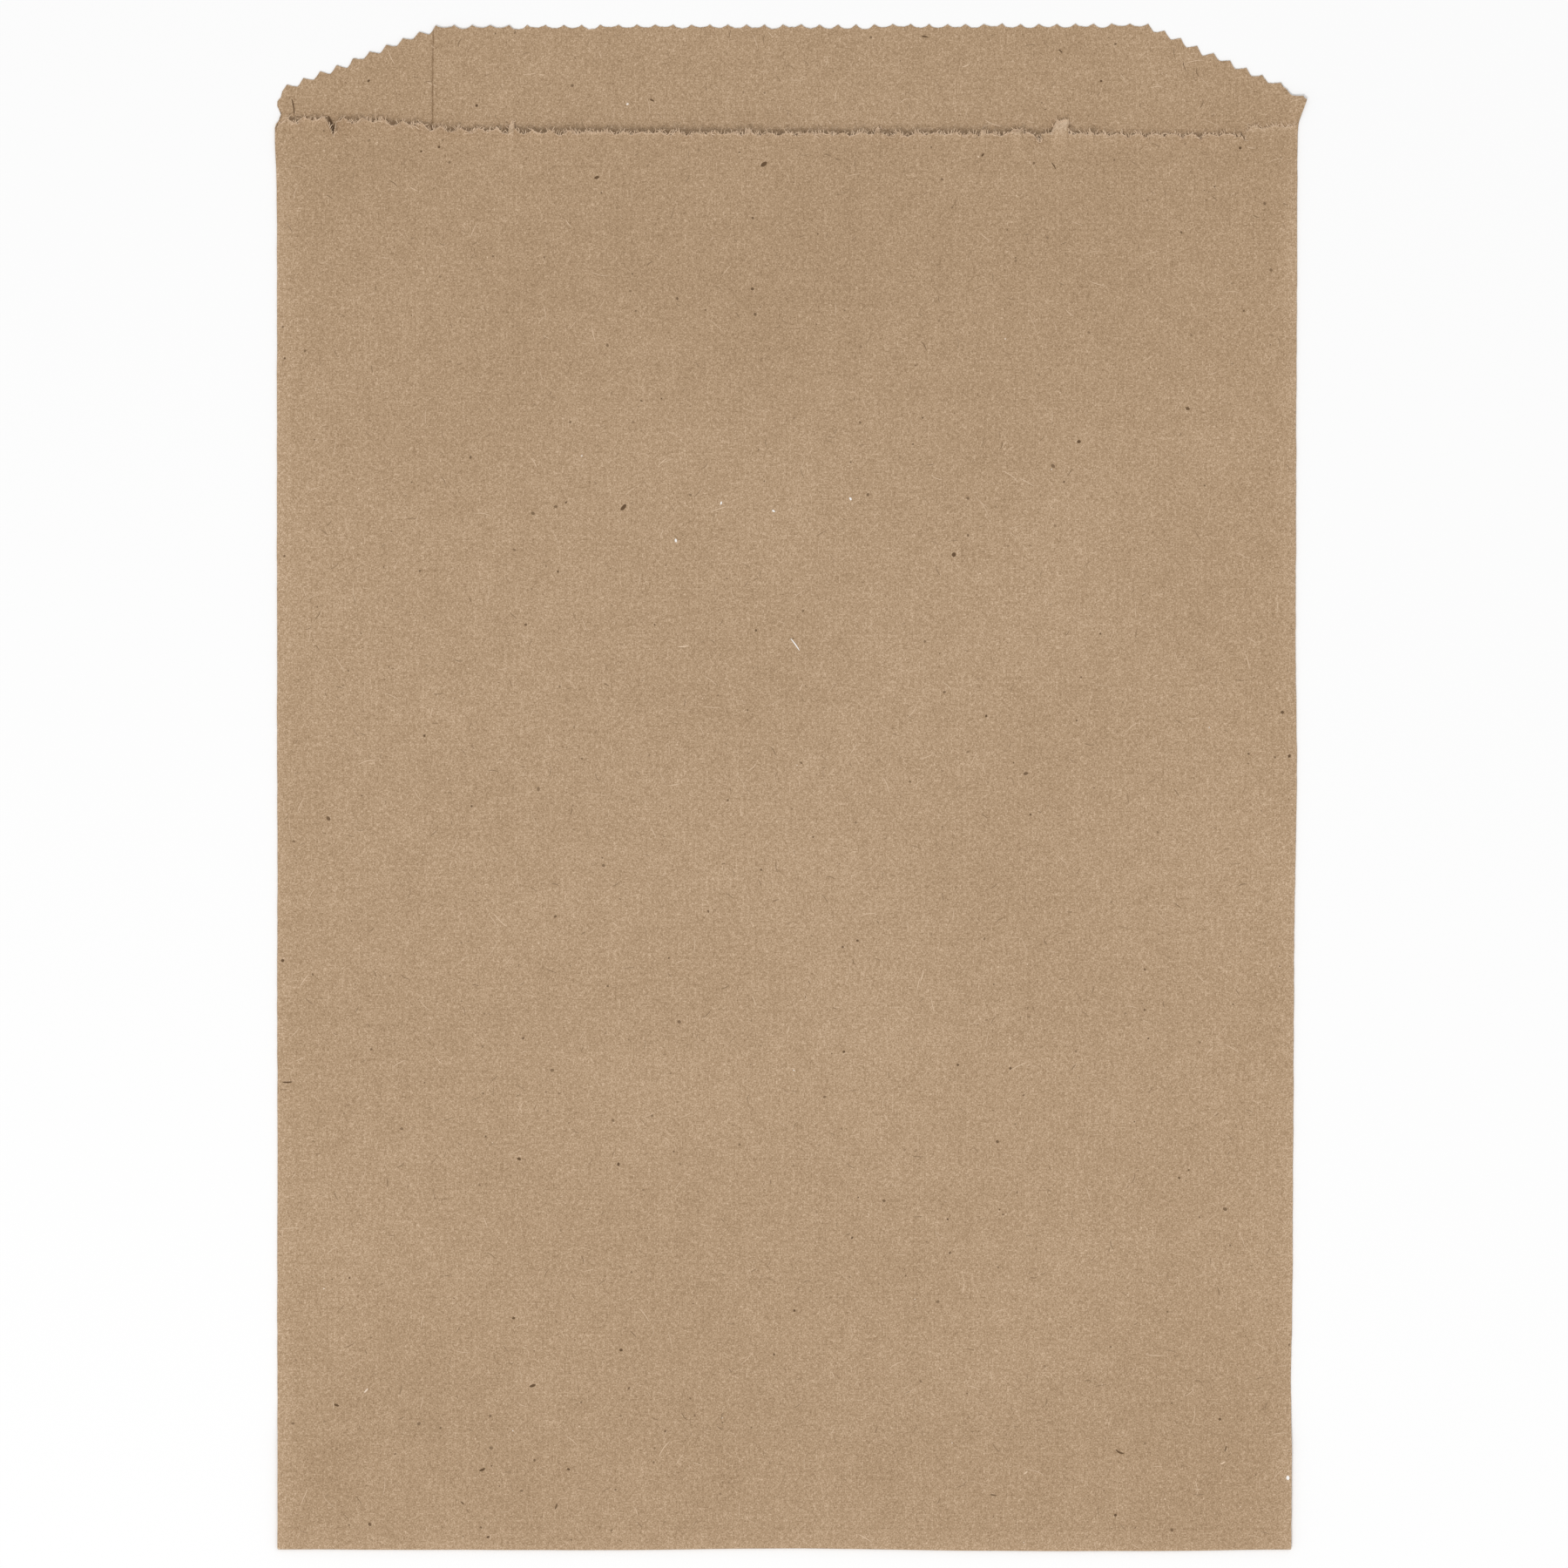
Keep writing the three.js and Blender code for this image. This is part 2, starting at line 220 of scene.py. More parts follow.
# Everything about the line of the sheet at u, measured across the unfolded sheet
def across(u):
    foldLength = math.pi * step
    stripLength = foldX + stripEdgeX
    if u <= stripLength:
        return {"panel": "strip", "x": stripEdgeX - u, "lift": backLift, "turn": 0}
    u -= stripLength
    if u < foldLength:
        angle = math.pi * (u / foldLength - 0.5)
        lift = (backLift + frontLift) / 2 + step * math.sin(angle)
        return {"panel": "leftFold", "x": -foldX - step * math.cos(angle), "lift": lift,
                "turn": u / foldLength}
    u -= foldLength
    if u <= 2 * foldX:
        return {"panel": "front", "x": u - foldX, "lift": frontLift, "turn": 1}
    u -= 2 * foldX
    if u < foldLength:
        angle = math.pi * (0.5 - u / foldLength)
        lift = (backLift + frontLift) / 2 + step * math.sin(angle)
        return {"panel": "rightFold", "x": foldX + step * math.cos(angle), "lift": lift,
                "turn": 1 - u / foldLength}
    x = foldX - (u - foldLength)
    onLap = 1 - ease(x, stripEdgeX + step, stripEdgeX + sheet["lapRamp"])
    return {"panel": "main", "x": x, "lift": backLift + onLap * step, "turn": 0}


def evenly(start, end, cells):
    return [mix(start, end, n / cells) for n in range(cells + 1)]


# The columns of the unfolded sheet, closer together round the side folds and at the lap
def columnPlaces():
    foldLength = math.pi * step
    edges = [foldX + stripEdgeX, foldLength, 2 * foldX, foldLength,
             foldX - stripEdgeX - sheet["lapRamp"], sheet["lapRamp"] - step,
             sheet["lapWidth"] + step - 2 * grid["hem"], grid["hem"], grid["hem"]]
    cells = [grid["stripCells"], grid["foldCells"], grid["frontCells"], grid["foldCells"],
             grid["mainCells"], 1, grid["lapCells"], 1, 1]
    places, start = [0.0], 0.0
    for length, count in zip(edges, cells):
        places += evenly(start, start + length, count)[1:]
        start += length
    return places


# The rows, from the flap's cut edge round the bottom fold and up to the mouth
def rowPlaces():
    rows = [("flap", place) for place in reversed(grid["flapPlaces"])]
    rows += [("bend", math.pi * (1 - n / grid["bendCells"])) for n in range(grid["bendCells"] + 1)]
    rows += [("panel", y) for y in grid["footRows"]]
    rows += [("panel", y) for y in (dropStart, dropStart + sheet["flapRamp"])]
    rows.append(("panel", dropEnd - sheet["flapRamp"]))
    top = sheet["bodyLength"] - sheet["edgeBand"]
    rows += [("panel", y) for y in evenly(dropEnd, top, grid["bodyRows"])[:-1]]
    rows += [("mouth", place) for place in grid["mouthPlaces"]]
    return rows


# How far the sheet has come down towards the table at y, over the flap's two ends
def dropAt(y):
    ontoFlap = clamp((y - dropStart) / sheet["flapRamp"])
    offFlap = clamp((y - dropEnd + sheet["flapRamp"]) / sheet["flapRamp"])
    return step * (2 * ontoFlap + offFlap)


def creaseHeight(x, y):
    height = 0
    for x0, y0, x1, y1, rise, width in creases:
        along, to = Vector((x1 - x0, y1 - y0)), Vector((x - x0, y - y0))
        share = clamp(to.dot(along) / along.length_squared)
        away = (to - along * share).length / width
        height += rise * max(0, 1 - away) ** 2 * (1 + 2 * max(0, away)) * 0.6
    return height


def ripple(name, x, y):
    height, lengthAcross, lengthAlong, place = ripples[name]
    return height * noise.noise(Vector((x / lengthAcross, y / lengthAlong, place)))


# The front panel stands off the back one by a low swell, with cockles and creases on it
def swellAt(x, y):
    side = max(0.0, 1 - abs(x / foldX) ** sheet["swellPower"])
    rising = ease(y, dropStart, sheet["bodyLength"] / 2)
    narrowing = ease(y, sheet["bodyLength"] / 2, sheet["bodyLength"])
    swell = sheet["swell"] * rising - (sheet["swell"] - sheet["mouthSwell"]) * narrowing
    swell *= 1 - mouth["flatEnds"] * ease(y, *mouth["flatAlong"]) * ease(abs(x), *mouth["flatAcross"])
    free = ease(y, 2, 30) * min(1, 4 * side)
    cockle = ripple("broad", x, y)
    cockle += ripple("fine", x, y)
    flapCockle = ripple("overFlap", x, y) * ease(y, 3, 5)
    flapCockle *= 1 - ease(y, dropEnd, dropEnd + 6)
    # over the flap the front sits lower beside the lap, where one layer fewer lies under it
    besideLap = -0.05 * ease(y, 2.9, 4.2) * (1 - ease(y, dropStart, dropEnd))
    besideLap *= ease(abs(x - stripEdgeX + 6), 6.5, 9)
    return side * swell + free * cockle + flapCockle + besideLap + creaseHeight(x, y)


# Small unevenness of the long edges, from the list and the paper's own waver
def sideWaver(x, y):
    near, side = ease(abs(x), foldX - 3, foldX), math.copysign(1, x)
    waver = ripple("sideFine", x, y) + ripple("sideBroad", x, y)
    for markSide, markY, halfLength, out in sideMarks:
        if markSide == side:
            waver += out * ease(1 - abs(y - markY) / halfLength, 0, 1)
    return near * side * waver


# The bottom fold isn't quite straight: it sits a little high in the middle and at the right
def bottomRise(x, y):
    middle, halfWidth, height = bottomLine["middle"]
    start, end, endHeight = bottomLine["right"]
    rise = height * ease(1 - abs(x - middle) / halfWidth, 0, 1) + endHeight * ease(x, start, end)
    rise += ripple("bottom", x, 0)
    return rise * (1 - ease(y, 0, bottomLine["reach"]))


def mouthDamage(x):
    reach = curl = lean = 0
    for markX, halfWidth, markReach, markCurl, markLean in mouth["marks"]:
        share = max(0, 1 - abs(x - markX) / halfWidth)
        share = min(1, share * mouth["tabSquareness"]) if markReach > 0 else share
        reach += share * markReach
        curl += share * markCurl
        lean += share * markLean
    return reach, curl, lean


# The torn paper stands out of the mouth's cut in fine points
def frayAt(x):
    points = max(0, noise.noise(Vector((x * 3.7, 0, 5.8))) - 0.1)
    return knife["fray"] * points + knife["fineFray"] * noise.noise(Vector((x * 6.1, 0, 2.4)))


# One point of the folded bag, from its place on the unfolded sheet
def fold(u, row):
    kind, value = row
    line = across(u)
    panel, x, lift, turn = line["panel"], line["x"], line["lift"], line["turn"]
    isFront = panel == "front"
    if kind == "bend":
        y = -lift * math.sin(value) + bottomRise(x, 0)
        return Vector((x, y, foldZ + lift * math.cos(value)))
    if kind == "panel":
        z = foldZ + lift - dropAt(value) + (swellAt(x, value) if isFront else 0)
        return Vector((x + sideWaver(x, value), value + bottomRise(x, value), z))

    # The two cut ends share the knife's line
    if isFront:
        base, valley, lean = cutAt(mouthLine, x, 3)
    else:
        base, valley, lean = cutAt(lipLine, max(-foldX, min(foldX, x)), 8)
    if "Fold" in panel:
        corner = lip["cornerLeft"] if x < 0 else lip["cornerRight"]
        base, valley, lean = mix(corner, mouthLine[0 if x < 0 else -1][1], turn), 0, 0
    atEdge = value ** 5
    if kind == "flap":
        end = sheet["flapDepth"] - base
        y = mix(sheet["flapFoot"], end, value) + valley * atEdge + bottomRise(x, 0) * (1 - value)
        return Vector((x, y, foldZ - lift))
    top = sheet["bodyLength"] - sheet["edgeBand"]
    y = mix(top, sheet["bodyLength"] + base, value) - valley * atEdge
    x += lean * atEdge + sideWaver(x, y)
    if x < 0:
        near = ease(-x, foldX - sheet["pinchReach"], foldX - 0.2)
        inPinch = ease(1 - abs(y - sheet["pinchY"]) / sheet["pinchHalfLength"], 0, 1)
        x += sheet["cornerPinch"] * near * inPinch
    z = foldZ + lift - dropAt(y)
    if isFront:
        reach, curl, markLean = mouthDamage(x)
        ragged = knife["raggedMouth"] * noise.noise(Vector((x * 1.3, 0, 6.1))) + frayAt(x)
        y += reach * value ** 4 + ragged * value ** 7
        x += markLean * value ** 4
        z += swellAt(x, min(y, sheet["bodyLength"])) + curl * value ** 3
        pit = mouth["pitLift"] * valley / knife["depth"]
        pit *= 1 - ease(x, mouth["flatFrom"], mouth["flatFrom"] + 1.5)
        z += (pit - mouth["tipDroop"]) * atEdge
        if reach > 0.5:  # a tab arches over and its end comes to rest on the lip
            z = mix(z, mouth["tabRest"], ease(y - sheet["bodyLength"], 0, reach) * 0.95)
        return Vector((x, y, z))
    sprung = clamp((y - sheet["earFoot"]) / (sheet["bodyLength"] + lip["cornerRight"] - sheet["earFoot"]))
    if panel == "main":
        nearEar = max(0, 1 - (foldX - x) / sheet["earReach"])
        x += sheet["earFlare"] * nearEar * sprung
        z += sheet["earLift"] * nearEar * sprung
    elif panel == "rightFold":
        x += sheet["earFlare"] * (1 - turn) * sprung
        z += sheet["earLift"] * (1 - turn) * sprung
    y += knife["raggedLip"] * noise.noise(Vector((x * 2.3, 0, 8.8))) * atEdge
    z += sheet["lipLift"] * value * max(0, noise.noise(Vector((x / 17, y / 15, 3.9))))
    return Vector((x, y, z))


# How much lighter or darker the paper is at a point, from wear and what lies under it, with painted
# highlight and shade for its shape: over the bottom fold, along the foot's step and over the front's top
def tintAt(panel, kind, value, point):
    tint = wearAndPaintedLight["sideFold"] * (1 - min(1, abs(abs(point.x) - foldX) / wearAndPaintedLight["sideFoldWidth"]))
    if kind == "bend":
        # painted highlight over the rolled bottom fold, and painted shade on the side of it that turns away
        return tint + wearAndPaintedLight["bottomFold"] + wearAndPaintedLight["underBottomFold"] * math.sin(value) ** 2
    if kind == "flap":
        tint += wearAndPaintedLight["flapEdge"] * value ** 40  # a fine dark line on the back
    # a painted highlight on the strip below the foot's step and a painted shadow line along the step
    if kind == "panel" and value < wearAndPaintedLight["creaseFrom"]:
        tint += wearAndPaintedLight["footHighlight"]
    elif kind == "panel" and value < wearAndPaintedLight["creaseTo"]:
        unevenness = wearAndPaintedLight["creaseUnevenness"] * noise.noise(Vector((point.x / 14, 0, 4.4)))
        tint += wearAndPaintedLight["stepShadowLine"] - unevenness
    if kind == "mouth" and panel == "front":
        reach, curl, _ = mouthDamage(point.x)
        onTab = clamp(reach) * min(1, 2 * curl)
        tint += wearAndPaintedLight["mouthEdge"] * value ** 14 + wearAndPaintedLight["tab"] * onTab * value ** 3
    elif kind == "mouth":
        tint += wearAndPaintedLight["lip"]
    if panel == "front":
        # dark blotches over the flap, painted shade over the top of the front, and darker towards the bottom
        for x, y, halfWidth, halfHeight, tone in blotchesAndShade:
            away = math.hypot((point.x - x) / halfWidth, (point.y - y) / halfHeight)
            tint += tone * ease(1 - away, 0, 0.7)
    return tint


def toFrame(point):
    return Vector((originX + point.x * mm, originY + point.y * mm, point.z * mm))


# Lays the blank flat as a grid, cuts its two end bands finer, then folds every point into place
def makeBag():
    columns, rows = columnPlaces(), rowPlaces()
    cellsAcross, cellsAlong = len(columns) - 1, len(rows) - 1
    bm = bmesh.new()
    bmesh.ops.create_grid(bm, x_segments=cellsAcross, y_segments=cellsAlong, size=0.5)
    for vert in bm.verts:
        column = round((vert.co.x + 0.5) * cellsAcross)
        vert.co = (columns[column], round((vert.co.y + 0.5) * cellsAlong), 0)

    flapCells, mouthCells = len(grid["flapPlaces"]) - 1, len(grid["mouthPlaces"]) - 1

    # Edges that run across the sheet in the end bands, but not those of the narrow folds
    def inBand(edge):
        a, b = edge.verts[0].co, edge.verts[1].co
        level = a.y == b.y and (a.y <= flapCells or a.y >= cellsAlong - mouthCells)
        return level and abs(a.x - b.x) > 4 * step

    edges = [edge for edge in bm.edges if inBand(edge)]
    bmesh.ops.subdivide_edges(bm, edges=edges, cuts=grid["edgeCuts"], use_grid_fill=True)

    uvLayer = bm.loops.layers.uv.new("sheet")
    tint = bm.verts.layers.float.new("tint")
    placed = {}
    for vert in bm.verts:
        u, row = vert.co.x, rows[round(vert.co.y)]
        placed[vert] = (u, row, fold(u, row))
    for face in bm.faces:
        for loop in face.loops:
            u, (kind, value), point = placed[loop.vert]
            v = {"flap": -point.y, "bend": -0.3 * value}.get(kind, point.y)
            loop[uvLayer].uv = (u * mm, v * mm)
    for vert, (u, (kind, value), point) in placed.items():
        vert[tint] = tintAt(across(u)["panel"], kind, value, point)
        if u > columns[-1] - 1.5 * grid["hem"]:
            vert[tint] += wearAndPaintedLight["lapEdge"]  # painted shadow: a fine dark line on the lip along the lap's edge
        vert.co = toFrame(point)

    bmesh.ops.recalc_face_normals(bm, faces=bm.faces)
    mesh = bpy.data.meshes.new("kraft_bag")
    bm.to_mesh(mesh)
    bm.free()
    mesh.shade_smooth()
    piece = bpy.data.objects.new("kraft_bag", mesh)
    bpy.context.collection.objects.link(piece)
    wall = piece.modifiers.new("paper", "SOLIDIFY")
    wall.thickness = sheet["thickness"] * mm
    wall.offset = 0
    wall.use_rim = True
    crisp = piece.modifiers.new("crisp edges", "EDGE_SPLIT")
    crisp.split_angle = math.radians(sheet["crispAngle"])
    return piece


# Shader maths as plain expressions: a wire is one output socket of a material's tree
class Wire:
    def __init__(self, finish, socket):
        self.finish, self.socket = finish, socket

    def maths(self, operation, *others):
        return self.finish.node("ShaderNodeMath", {"operation": operation}, [self, *others])

    def __add__(self, other):
        return self.maths("ADD", other)

    def __sub__(self, other):
        return self.maths("SUBTRACT", other)

    def __mul__(self, other):
        return self.maths("MULTIPLY", other)

    def __rsub__(self, other):
        return self.finish.node("ShaderNodeMath", {"operation": "SUBTRACT"}, [other, self])

    __radd__ = __add__
    __rmul__ = __mul__

    def size(self):
        return self.maths("ABSOLUTE")

    # 0 below start, 1 above end, smooth between
    def rises(self, start, end):
        return self.finish.node("ShaderNodeMapRange", {"interpolation_type": "SMOOTHSTEP"},
                                {"Value": self, "From Min": start, "From Max": end})


class Finish:
    def __init__(self, name):
        self.material = bpy.data.materials.new(name)
        self.material.use_nodes = True
        self.tree = self.material.node_tree
        self.shader = self.tree.nodes["Principled BSDF"]

    def node(self, kind, settings=None, inputs=None, out=0):
        made = self.tree.nodes.new(kind)
        for name, value in (settings or {}).items():
            if name == "stops":
                ramp = made.color_ramp.elements
                while len(ramp) < len(value):
                    ramp.new(0.5)
                for element, (place, colour) in zip(ramp, value):
                    element.position, element.color = place, (*colour, 1)
            else:
                setattr(made, name, value)
        pairs = inputs.items() if isinstance(inputs, dict) else enumerate(inputs or [])
        for key, value in pairs:
            self.feed(made.inputs[key], value)
        return Wire(self, made.outputs[out])

    def feed(self, socket, value):
        if isinstance(value, Wire):
            self.tree.links.new(value.socket, socket)
        else:
            socket.default_value = value

    def noise(self, place, scale, detail, roughness):
        return self.node("ShaderNodeTexNoise", {"noise_dimensions": "2D"},
                         {"Vector": place, "Scale": scale, "Detail": detail, "Roughness": roughness})

    def moved(self, place, shift):
        return self.node("ShaderNodeMapping", {}, {"Vector": place, "Location": (*shift, 0)})


# Brown kraft: the tone is 0.5 at the mean colour, and a hundredth is about one step of 255
kraft = {
    "dark": (0.209, 0.123, 0.060), "mean": (0.4535, 0.3085, 0.186), "light": (0.77, 0.58, 0.41),
    "fleck": (0.95, 0.92, 0.88), "speck": (0.135, 0.078, 0.038),
    # strength, place, and the noise's scale to the millimetre, detail and roughness
    "grain": (0.90, (0, 0), 4.6, 2, 0.6), "coarse": (0.30, (7, 3), 1.7, 1, 0.5),
    "formation": (0.125, (13, 40), 0.28, 2, 0.55), "cloud": (0.08, (90, 21), 0.035, 1, 0.5),
    "curls": 0.11, "curlWidth": 0.05,
    "roughness": 0.88, "fibreRoughness": 0.9, "specular": 0.25, "bump": 0.35, "bumpDepth": 0.00005,
}


def kraftColour(finish, tone, darkest, lightest):
    stops = [(0.0, darkest), (0.5, kraft["mean"]), (0.95, kraft["light"]), (1.0, lightest)]
    return finish.node("ShaderNodeValToRGB", {"stops": stops}, [tone])


def kraftPaper():
    paper = Finish("kraft_paper")
    uv = paper.node("ShaderNodeUVMap", {"uv_map": "sheet"})
    place = paper.node("ShaderNodeMapping", {}, {"Vector": uv, "Scale": (1000, 1000, 1000)})

    def level(shift, scale, detail, roughness):
        return paper.noise(paper.moved(place, shift), scale, detail, roughness) - 0.5

    # Fine curled strokes are the level lines of a soft noise
    def curls(shift, spacing):
        return 1 - level(shift, 1 / spacing, 1, 0.5).size().rises(0, kraft["curlWidth"])

    tone = 0.5 + paper.node("ShaderNodeAttribute", {"attribute_name": "tint"}, out=2)
    levels = {}
    for name in ("grain", "coarse", "formation", "cloud"):
        strength, *settings = kraft[name]
        levels[name] = level(*settings)
        tone = tone + strength * levels[name]
    tone = tone + kraft["curls"] * (curls((61, 37), 0.9) - curls((29, 88), 0.8))
    height = levels["grain"] + levels["coarse"]
    bump = paper.node("ShaderNodeBump", {}, {
        "Strength": kraft["bump"], "Distance": kraft["bumpDepth"], "Height": height})
    paper.feed(paper.shader.inputs["Base Color"], kraftColour(paper, tone, kraft["dark"], kraft["light"]))
    paper.feed(paper.shader.inputs["Roughness"], kraft["roughness"])
    paper.feed(paper.shader.inputs["Normal"], bump)
    paper.feed(paper.shader.inputs["Specular IOR Level"], kraft["specular"])
    return paper.material


bag = makeBag()
bag.data.materials.append(kraftPaper())
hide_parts("paper_bag")
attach(bag, "root")
print("bag folded:", len(bag.data.vertices), "points")

# Single fibres and specks that lie in the paper's face, and two dark strips of painted shade in
# a tear and a notch of the mouth, in millimetres
fibres = {
    "seed": 11, "cells": 6, "height": 0.012, "bluntness": 0.02, "mostSag": 0.25, "lot": 150,
    # how many on the front and on the back, length, width, bend and tone, each from and to
    "scattered": [
        (420, 160, (1.0, 3.2), (0.08, 0.14), 0.8, (0.14, 0.36)),
        (560, 200, (0.5, 1.8), (0.08, 0.14), 1.3, (-0.34, -0.14)),
        (1500, 400, (0.25, 0.8), (0.10, 0.18), 1.6, (-0.26, 0.24)),
    ],
    # how many on the front and on the back, radius and tone
    "specks": [
        (330, 120, (0.08, 0.18), (-0.45, -0.2)),
        (60, 30, (0.16, 0.26), (-0.5, -0.3)),
        (110, 40, (0.07, 0.12), (0.25, 0.5)),
    ],
    # x, y, length, width, direction in degrees, bend and tone. The dark strips at x -70.5 and 70.1
    # by the mouth are painted shade in its tear and its notch.
    "placed": [
        (-3.6, 214.8, 1.1, 0.6, 35, 0.2, -0.5), (-25.2, 161.8, 1.2, 0.55, 50, 0.4, -0.5),
        (25.9, 154.6, 0.7, 0.62, 80, 0.1, -0.5), (45.2, 172.1, 0.6, 0.5, 20, 0.1, -0.5),
        (78.3, 11.2, 0.7, 0.5, 100, 0.1, 0.5), (-77.3, 72.5, 1.6, 0.26, 4, 0.4, -0.5),
        (52.1, 15.1, 1.5, 0.28, 338, 1.0, -0.5), (-47.0, 12.2, 1.0, 0.38, 25, 0.3, -0.5),
        (-39.2, 25.3, 1.0, 0.42, 20, 0.3, -0.5), (-69.7, 22.2, 0.8, 0.36, 340, 0.3, -0.5),
        (-65.1, 24.5, 0.9, 0.26, 50, 0.2, 0.46), (-46.1, 1.7, 0.5, 0.34, 20, 0.1, -0.5),
        (-35.5, 6.5, 1.0, 0.26, 72, 0.3, -0.45), (-33.6, 12.3, 0.5, 0.32, 340, 0.1, -0.5),
        (-38.9, 13.7, 0.45, 0.34, 90, 0.1, -0.4), (-50.1, 7.0, 0.7, 0.24, 320, 0.2, -0.4),
        (51.5, 5.3, 0.45, 0.42, 90, 0.1, -0.5), (67.7, 20.3, 0.45, 0.42, 90, 0.1, -0.45),
        (68.6, 15.7, 1.0, 0.24, 75, 0.3, -0.4), (68.2, 13.5, 0.9, 0.26, 30, 0.3, 0.4),
        (32.5, 8.4, 1.0, 0.24, 350, 0.2, -0.4), (37.5, 11.9, 0.8, 0.22, 40, 0.2, 0.4),
        (9.9, 163.2, 0.5, 0.3, 120, 0.1, 0.5), (-17.1, 156.7, 0.55, 0.34, 100, 0.1, 0.5),
        (-2.0, 161.3, 0.5, 0.28, 150, 0.1, 0.5), (-10.1, 162.5, 0.5, 0.24, 80, 0.1, 0.5),
        (1.4, 140.7, 2.4, 0.17, 127, 0.2, 0.5), (-15.9, 140.3, 1.7, 0.18, 8, 0.4, 0.45),
        (-29.4, 212.7, 0.8, 0.45, 20, 0.5, -0.5), (-48.0, 223.8, 0.45, 0.4, 0, 0.1, -0.5),
        (-64.7, 227.6, 0.45, 0.36, 30, 0.1, -0.5), (-42.1, 235.1, 0.5, 0.3, 60, 0.1, -0.3),
        (-24.7, 224.1, 0.4, 0.3, 30, 0.1, 0.48), (-20.9, 224.7, 0.8, 0.24, 155, 0.3, -0.5),
        (-53.8, 217.4, 0.4, 0.36, 0, 0.1, -0.5), (-64.6, 218.4, 0.5, 0.2, 60, 0.2, -0.3),
        (70.0, 217.5, 0.45, 0.42, 0, 0.1, -0.5), (42.2, 232.4, 0.8, 0.2, 140, 0.2, -0.5),
        (30.2, 216.3, 0.6, 0.3, 50, 0.2, -0.5), (41.2, 214.7, 1.2, 0.18, 125, 0.5, -0.5),
        (27.6, 230.1, 1.4, 0.16, 25, 0.4, 0.34), (21.2, 234.6, 1.0, 0.26, 175, 0.2, -0.5),
        (48.5, 227.8, 0.4, 0.34, 0, 0.1, -0.5), (-76.3, 223.6, 2.6, 0.2, 100, 0.3, -0.5),
        (-70.5, 221.1, 2.4, 0.46, 108, 0.4, -0.46), (70.1, 219.6, 0.8, 0.28, 80, 0.2, -0.5),
    ],
    # Torn fibres along the mouth: how many, length, width, how high they stand, and tone
    "fuzz": (900, (0.3, 1.0), (0.07, 0.13), 0.2, (0.12, 0.42)),
}


# A fibre, a speck or a strip of painted shade is a narrow strip bent through its points, thin at both ends
def layStrip(bm, points, width, tone):
    toneLayer = bm.verts.layers.float["tone"]
    strip = bmesh.ops.create_grid(bm, x_segments=len(points) - 1, y_segments=1, size=0.5)
    for vert in strip["verts"]:
        n, side = round((vert.co.x + 0.5) * (len(points) - 1)), vert.co.y
        ahead = points[min(n + 1, len(points) - 1)] - points[max(n - 1, 0)]
        sideways = Vector((-ahead.y, ahead.x, 0)).normalized()
        share = 2 * n / (len(points) - 1) - 1
        taper = math.sqrt(1 + fibres["bluntness"] - share * share)
        vert.co = points[n] + sideways * side * width * mm * taper
        vert[toneLayer] = tone


def strokePoints(x, y, length, degrees, bend, count):
    angle, places = math.radians(degrees) - bend / 2, []
    for n in range(count):
        places.append(Vector((x, y)))
        x += length / (count - 1) * math.cos(angle)
        y += length / (count - 1) * math.sin(angle)
        angle += bend / (count - 1)
    middle = places[count // 2] - places[0]
    return [place - middle for place in places]


